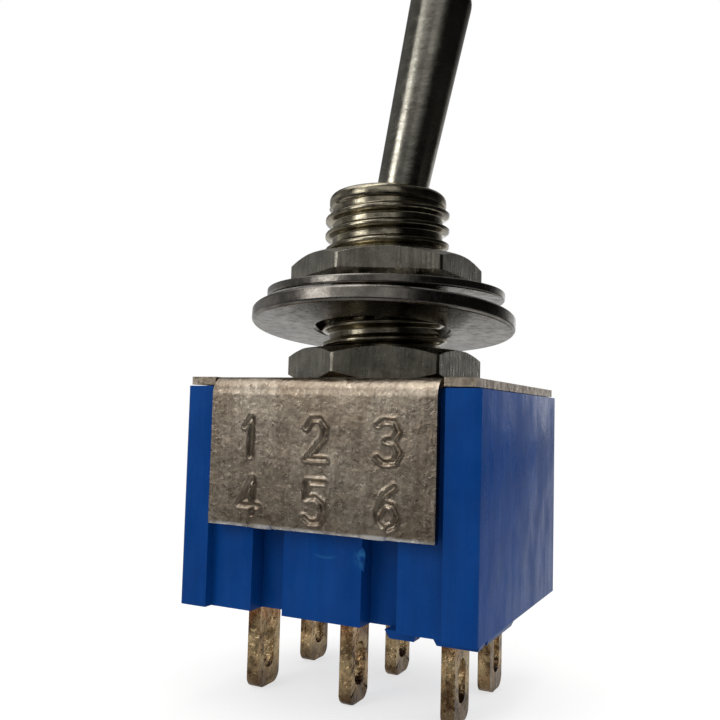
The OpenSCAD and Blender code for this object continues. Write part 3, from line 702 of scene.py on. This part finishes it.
def make_lever():
    """The turned lever: shank, ball, long taper and rounded tip."""
    reach = 10.5
    shaft = BUSH_HIGH.z - PIVOT_Z + reach
    root_r, tip_r, dome, neck_r = 1.12, 1.47, 1.1, 1.16
    ball_r, shank_r, shank_low = 2.0, 0.75, -9.7
    steps, dome_steps = 24, 10
    neck_z = math.sqrt(ball_r ** 2 - neck_r ** 2)
    under_z = math.sqrt(ball_r ** 2 - shank_r ** 2)
    start = math.degrees(math.atan2(-under_z, shank_r))
    end = math.degrees(math.atan2(neck_z, neck_r))
    straight = shaft - dome
    profile = [(0, shank_low), (shank_r, shank_low), (shank_r, -under_z)]
    profile += arc((0, 0), ball_r, start, end, steps)[1:]
    for i in range(1, steps + 1):
        z = neck_z + (straight - neck_z) * i / steps
        profile.append((root_r + (tip_r - root_r) * z / straight, z))
    for i in range(1, dome_steps):
        a = math.radians(90 * i / dome_steps)
        profile.append((tip_r * math.cos(a), straight + dome * math.sin(a)))
    profile.append((0, shaft))
    bm = lathe(profile, 128, closed=False)
    lever = piece_from(bm, "toggle_lever", BAT, LEVER_BODY, on_lever(0, 0, 0), smooth_angle=50)
    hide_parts("lever")


def make_spring(row, side):
    """A plunger's coil spring, under the roof of its barrel."""
    wire, turns, steps = 0.2, 5, 20
    # The barrel's roof, from the pivot, and the gap between it and the coil.
    mean_r, length, roof, gap = 0.59, 1.56, 7.7, 0.02
    foot = roof + gap + length
    pole_y = side * abs(joint_of("rocker_rear_tip")["pos_m"][1]) / MM
    bm = bmesh.new()
    ring = bmesh.ops.create_circle(bm, cap_ends=True, radius=wire / 2, segments=10)["verts"]
    bmesh.ops.rotate(bm, cent=(0, 0, 0), matrix=Matrix.Rotation(math.pi / 2, 3, "X"), verts=ring)
    bmesh.ops.translate(bm, vec=(mean_r, 0, wire / 2 - foot), verts=ring)
    bmesh.ops.spin(bm, geom=bm.verts[:] + bm.edges[:] + bm.faces[:], cent=(0, 0, 0), axis=(0, 0, 1),
                   dvec=(0, 0, (length - wire) / (turns * steps)), angle=turns * FULL_TURN, steps=turns * steps)
    place = on_lever(0, pole_y, 0)
    spring = piece_from(bm, f"{row}_plunger_spring", STEEL, LEVER_BODY, place, smooth_angle=60)
    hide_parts(f"spring_{row}")
    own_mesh(spring)


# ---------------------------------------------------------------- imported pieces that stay


def dress(node, material, width=None):
    """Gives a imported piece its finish, and rounded edges where a width is given."""
    weld_metres = 1e-6
    piece = frame["nodes"][node]
    piece.data.materials.clear()
    piece.data.materials.append(material)
    if width:
        weld = piece.modifiers.new("weld", "WELD")
        weld.merge_threshold = weld_metres
        soften(piece, width, 2, 40)


make_case()
make_frame()
make_bushing()
make_nut("lower_panel_nut", "lower_nut", LOWER_NUT_Z, 55)
make_nut("upper_panel_nut", "upper_nut", UPPER_LOW.z, 56, foot_bevel=0.52)
make_key_washer()
make_lock_washer()
make_lever()
for row in ("front", "rear"):
    for column in ("left", "middle", "right"):
        dress(f"terminal_{row}_{column}", LUGS, 0.09)
    dress(f"plunger_{row}", BRASS)
    dress(f"rocker_{row}", BRASS, 0.05)
make_spring("front", -1)
make_spring("rear", 1)
dress("actuator", NYLON, 0.06)
dress("pivot_pin", STEEL, 0.05)

# ---------------------------------------------------------------- studio


def ramp(tree, factor, stops):
    """A ramp of greys: stops are (position from 0 to 1, brightness)."""
    made = tree.nodes.new("ShaderNodeValToRGB")
    tree.links.new(factor, made.inputs[0])
    points = made.color_ramp.elements
    while len(points) < len(stops):
        points.new(0.5)
    for point, (place, level) in zip(points, stops):
        point.position, point.color = place, (level, level, level, 1)
    return made.outputs["Color"]


def shade(tree, kind, inputs):
    """A shader node's output, with its inputs linked or set."""
    made = tree.nodes.new(kind)
    for key, value in inputs.items():
        if hasattr(value, "links"):
            tree.links.new(value, made.inputs[key])
        else:
            made.inputs[key].default_value = value
    return made.outputs[0]


def fade(tree, value, start, end, low=0.0, high=1.0):
    """Goes from low to high as a value goes from start to end."""
    return shade(tree, "ShaderNodeMapRange", {"Value": value, "From Min": start, "From Max": end,
                                              "To Min": low, "To Max": high})


def mix(tree, factor, first, second, kind="ShaderNodeMixShader"):
    """Mixes two shaders, or two colours if kind says so."""
    return shade(tree, kind, {0: factor, 1: first, 2: second})


def make_floor():
    """A white floor that keeps the object's shadow and fades to plain white further out."""
    half_size, gap = 1.5, 0.00002
    bm = bmesh.new()
    bmesh.ops.create_grid(bm, x_segments=2, y_segments=2, size=half_size)
    bmesh.ops.translate(bm, vec=(0, 0, LUG_TIP_Z * MM - gap), verts=bm.verts)
    mesh = bpy.data.meshes.new("studio_floor")
    bm.to_mesh(mesh)
    bm.free()
    floor = bpy.data.objects.new("studio_floor", mesh)
    bpy.context.scene.collection.objects.link(floor)
    material = bpy.data.materials.new("pale_floor")
    material.use_nodes = True
    tree = material.node_tree
    tree.nodes.clear()
    paths = tree.nodes.new("ShaderNodeLightPath").outputs
    place = tree.nodes.new("ShaderNodeTexCoord").outputs["Object"]
    away = tree.nodes.new("ShaderNodeVectorMath")
    away.operation = "LENGTH"
    tree.links.new(place, away.inputs[0])
    far = fade(tree, away.outputs["Value"], 0.020, 0.060)
    split = tree.nodes.new("ShaderNodeSeparateXYZ")
    tree.links.new(place, split.inputs[0])
    # Seen by the camera: lit grey and its shadow near the object, plain white further out.
    grey = shade(tree, "ShaderNodeBsdfDiffuse", {"Color": (0.40, 0.40, 0.40, 1)})
    glow = shade(tree, "ShaderNodeEmission", {"Strength": 0.66})
    white = shade(tree, "ShaderNodeEmission", {"Strength": 1.0})
    seen = mix(tree, far, shade(tree, "ShaderNodeAddShader", {0: grey, 1: glow}), white)
    # Seen in metal: dim in front, brighter behind, and dark far to the right.
    plain = shade(tree, "ShaderNodeBsdfDiffuse", {"Color": (0.8, 0.8, 0.8, 1)})
    behind = fade(tree, split.outputs["Y"], -0.030, 0.010, 0.08, 0.60)
    aside = fade(tree, split.outputs["X"], 0.018, 0.060, 1.0, 0.06)
    dark = shade(tree, "ShaderNodeEmission", {"Strength": 0.0})
    mirrored = mix(tree, aside, dark, shade(tree, "ShaderNodeEmission", {"Strength": behind}))
    bounced = mix(tree, paths["Is Glossy Ray"], plain, mirrored)
    both = mix(tree, paths["Is Camera Ray"], bounced, seen)
    out = tree.nodes.new("ShaderNodeOutputMaterial")
    tree.links.new(both, out.inputs["Surface"])
    mesh.materials.append(material)


# What polished metal sees round it: bearings in degrees, 0 in front and 90 at +X, with brightness.
# Low is near the horizon, high is about 15 degrees up, top is from 20 degrees up, and the ceiling is over them.
ROOM_LOW = ((-180, 0.8), (-150, 0.6), (-125, 0.20), (-95, 0.05), (-70, 0.06), (-40, 0.115), (-10, 0.10),
            (10, 0.07), (40, 0.055), (58, 0.01), (135, 0.01), (145, 0.02), (150, 0.09), (155, 0.28),
            (164, 0.5), (180, 0.8))
ROOM_HIGH = ((-180, 0.30), (-150, 0.20), (-125, 0.12), (-95, 0.25), (-74, 0.08), (-52, 0.08), (-46, 0.40),
             (-40, 2.0), (-27, 2.0), (-19, 0.35), (-8, 0.09), (10, 0.10), (20, 0.24), (32, 0.24), (40, 0.12),
             (52, 0.02), (60, 0.005), (135, 0.005), (150, 0.04), (165, 0.08), (180, 0.20))
ROOM_TOP = ((-180, 0.16), (-150, 0.10), (-125, 0.06), (-95, 0.08), (-60, 0.06), (-48, 0.08), (-43, 0.62),
            (-30, 0.62), (-24, 0.36), (0, 0.28), (38, 0.23), (48, 0.03), (56, 0.004), (140, 0.004),
            (155, 0.02), (180, 0.10))
CEILING = ((-180, 0.10), (-130, 0.25), (-100, 0.44), (-60, 0.50), (-48, 1.0), (-32, 1.0), (-22, 0.30),
           (-8, 0.10), (10, 0.05), (55, 0.02), (140, 0.02), (180, 0.10))
ROOM_GAIN, CEILING_GAIN, FILL_GAIN = 1.9, 3.8, 0.78


def make_world():
    """White behind the object for the camera; for metal, a room with a window at its left front."""
    world = bpy.data.worlds.new("studio_world")
    bpy.context.scene.world = world
    world.use_nodes = True
    tree = world.node_tree
    tree.nodes.clear()
    paths = tree.nodes.new("ShaderNodeLightPath").outputs
    split = tree.nodes.new("ShaderNodeSeparateXYZ")
    tree.links.new(tree.nodes.new("ShaderNodeTexCoord").outputs["Generated"], split.inputs[0])

    def maths(operation, a, b):
        """One step of arithmetic on two numbers."""
        made = tree.nodes.new("ShaderNodeMath")
        made.operation = operation
        for socket, value in enumerate((a, b)):
            if hasattr(value, "links"):
                tree.links.new(value, made.inputs[socket])
            else:
                made.inputs[socket].default_value = value
        return made.outputs[0]

    bearing = maths("ARCTAN2", split.outputs["X"], maths("MULTIPLY", split.outputs["Y"], -1.0))
    turn = maths("ADD", maths("DIVIDE", bearing, FULL_TURN), 0.5)
    low, high, top, above = (ramp(tree, turn, [(a / 360 + 0.5, level) for a, level in stops])
                             for stops in (ROOM_LOW, ROOM_HIGH, ROOM_TOP, CEILING))
    lift = fade(tree, split.outputs["Z"], 0.03, 0.24)
    climb = fade(tree, split.outputs["Z"], 0.28, 0.36)
    over = fade(tree, split.outputs["Z"], 0.62, 0.86)
    upper = mix(tree, climb, high, top, "ShaderNodeMixRGB")
    sides = mix(tree, lift, low, upper, "ShaderNodeMixRGB")
    room = shade(tree, "ShaderNodeBackground", {"Color": sides, "Strength": ROOM_GAIN})
    ceiling = shade(tree, "ShaderNodeBackground", {"Color": above, "Strength": CEILING_GAIN})
    fill = shade(tree, "ShaderNodeBackground", {"Color": (1.0, 0.99, 0.97, 1), "Strength": FILL_GAIN})
    white = shade(tree, "ShaderNodeBackground", {"Color": (1, 1, 1, 1)})
    glossy = mix(tree, paths["Is Glossy Ray"], fill, mix(tree, over, room, ceiling))
    camera = mix(tree, paths["Is Camera Ray"], glossy, white)
    out = tree.nodes.new("ShaderNodeOutputWorld")
    tree.links.new(camera, out.inputs["Surface"])
    # The world isn't sampled as a lamp: its light is found by bounced rays alone.
    world.cycles.sampling_method = "NONE"


def make_light(name, place, power, size, colour):
    """A soft rectangular light aimed at the origin, its place and size in metres, that metal doesn't mirror."""
    data = bpy.data.lights.new(name, "AREA")
    data.shape = "RECTANGLE"
    data.size, data.size_y = size
    data.energy = power
    data.color = colour
    light = bpy.data.objects.new(name, data)
    bpy.context.scene.collection.objects.link(light)
    light.visible_glossy = False
    aim = -Vector(place)
    light.matrix_world = Matrix.Translation(place) @ aim.to_track_quat("-Z", "Y").to_matrix().to_4x4()


def make_camera():
    """The camera, from its bearing, tilt and roll in degrees and its place in millimetres."""
    azimuth, pitch, roll = (math.radians(a) for a in (26.39, 3.94, 1.519))
    place = Vector((16.271, -35.391, -1.568)) * MM
    forward = Vector((-math.sin(azimuth) * math.cos(pitch), math.cos(azimuth) * math.cos(pitch), math.sin(pitch)))
    level = Vector((math.cos(azimuth), math.sin(azimuth), 0))
    up = level.cross(forward)
    right = level * math.cos(roll) + up * math.sin(roll)
    up = up * math.cos(roll) - level * math.sin(roll)
    data = bpy.data.cameras.new("camera")
    data.lens, data.sensor_width = 40.84, 36
    data.clip_start, data.clip_end = 0.001, 20
    camera = bpy.data.objects.new("camera", data)
    bpy.context.scene.collection.objects.link(camera)
    turn = Matrix((right, up, -forward)).transposed().to_4x4()
    camera.matrix_world = Matrix.Translation(place) @ turn
    bpy.context.scene.camera = camera


make_floor()
make_world()
make_light("key", (-0.14, -0.32, 0.20), 0.38, (0.16, 0.20), (1.0, 0.975, 0.93))
make_light("top", (0.02, 0.02, 0.34), 0.30, (0.22, 0.22), (1.0, 0.98, 0.95))
make_light("side", (0.30, 0.16, 0.12), 0.10, (0.16, 0.2), (0.97, 0.98, 1.0))
make_camera()
bpy.context.scene.view_settings.view_transform = "Standard"
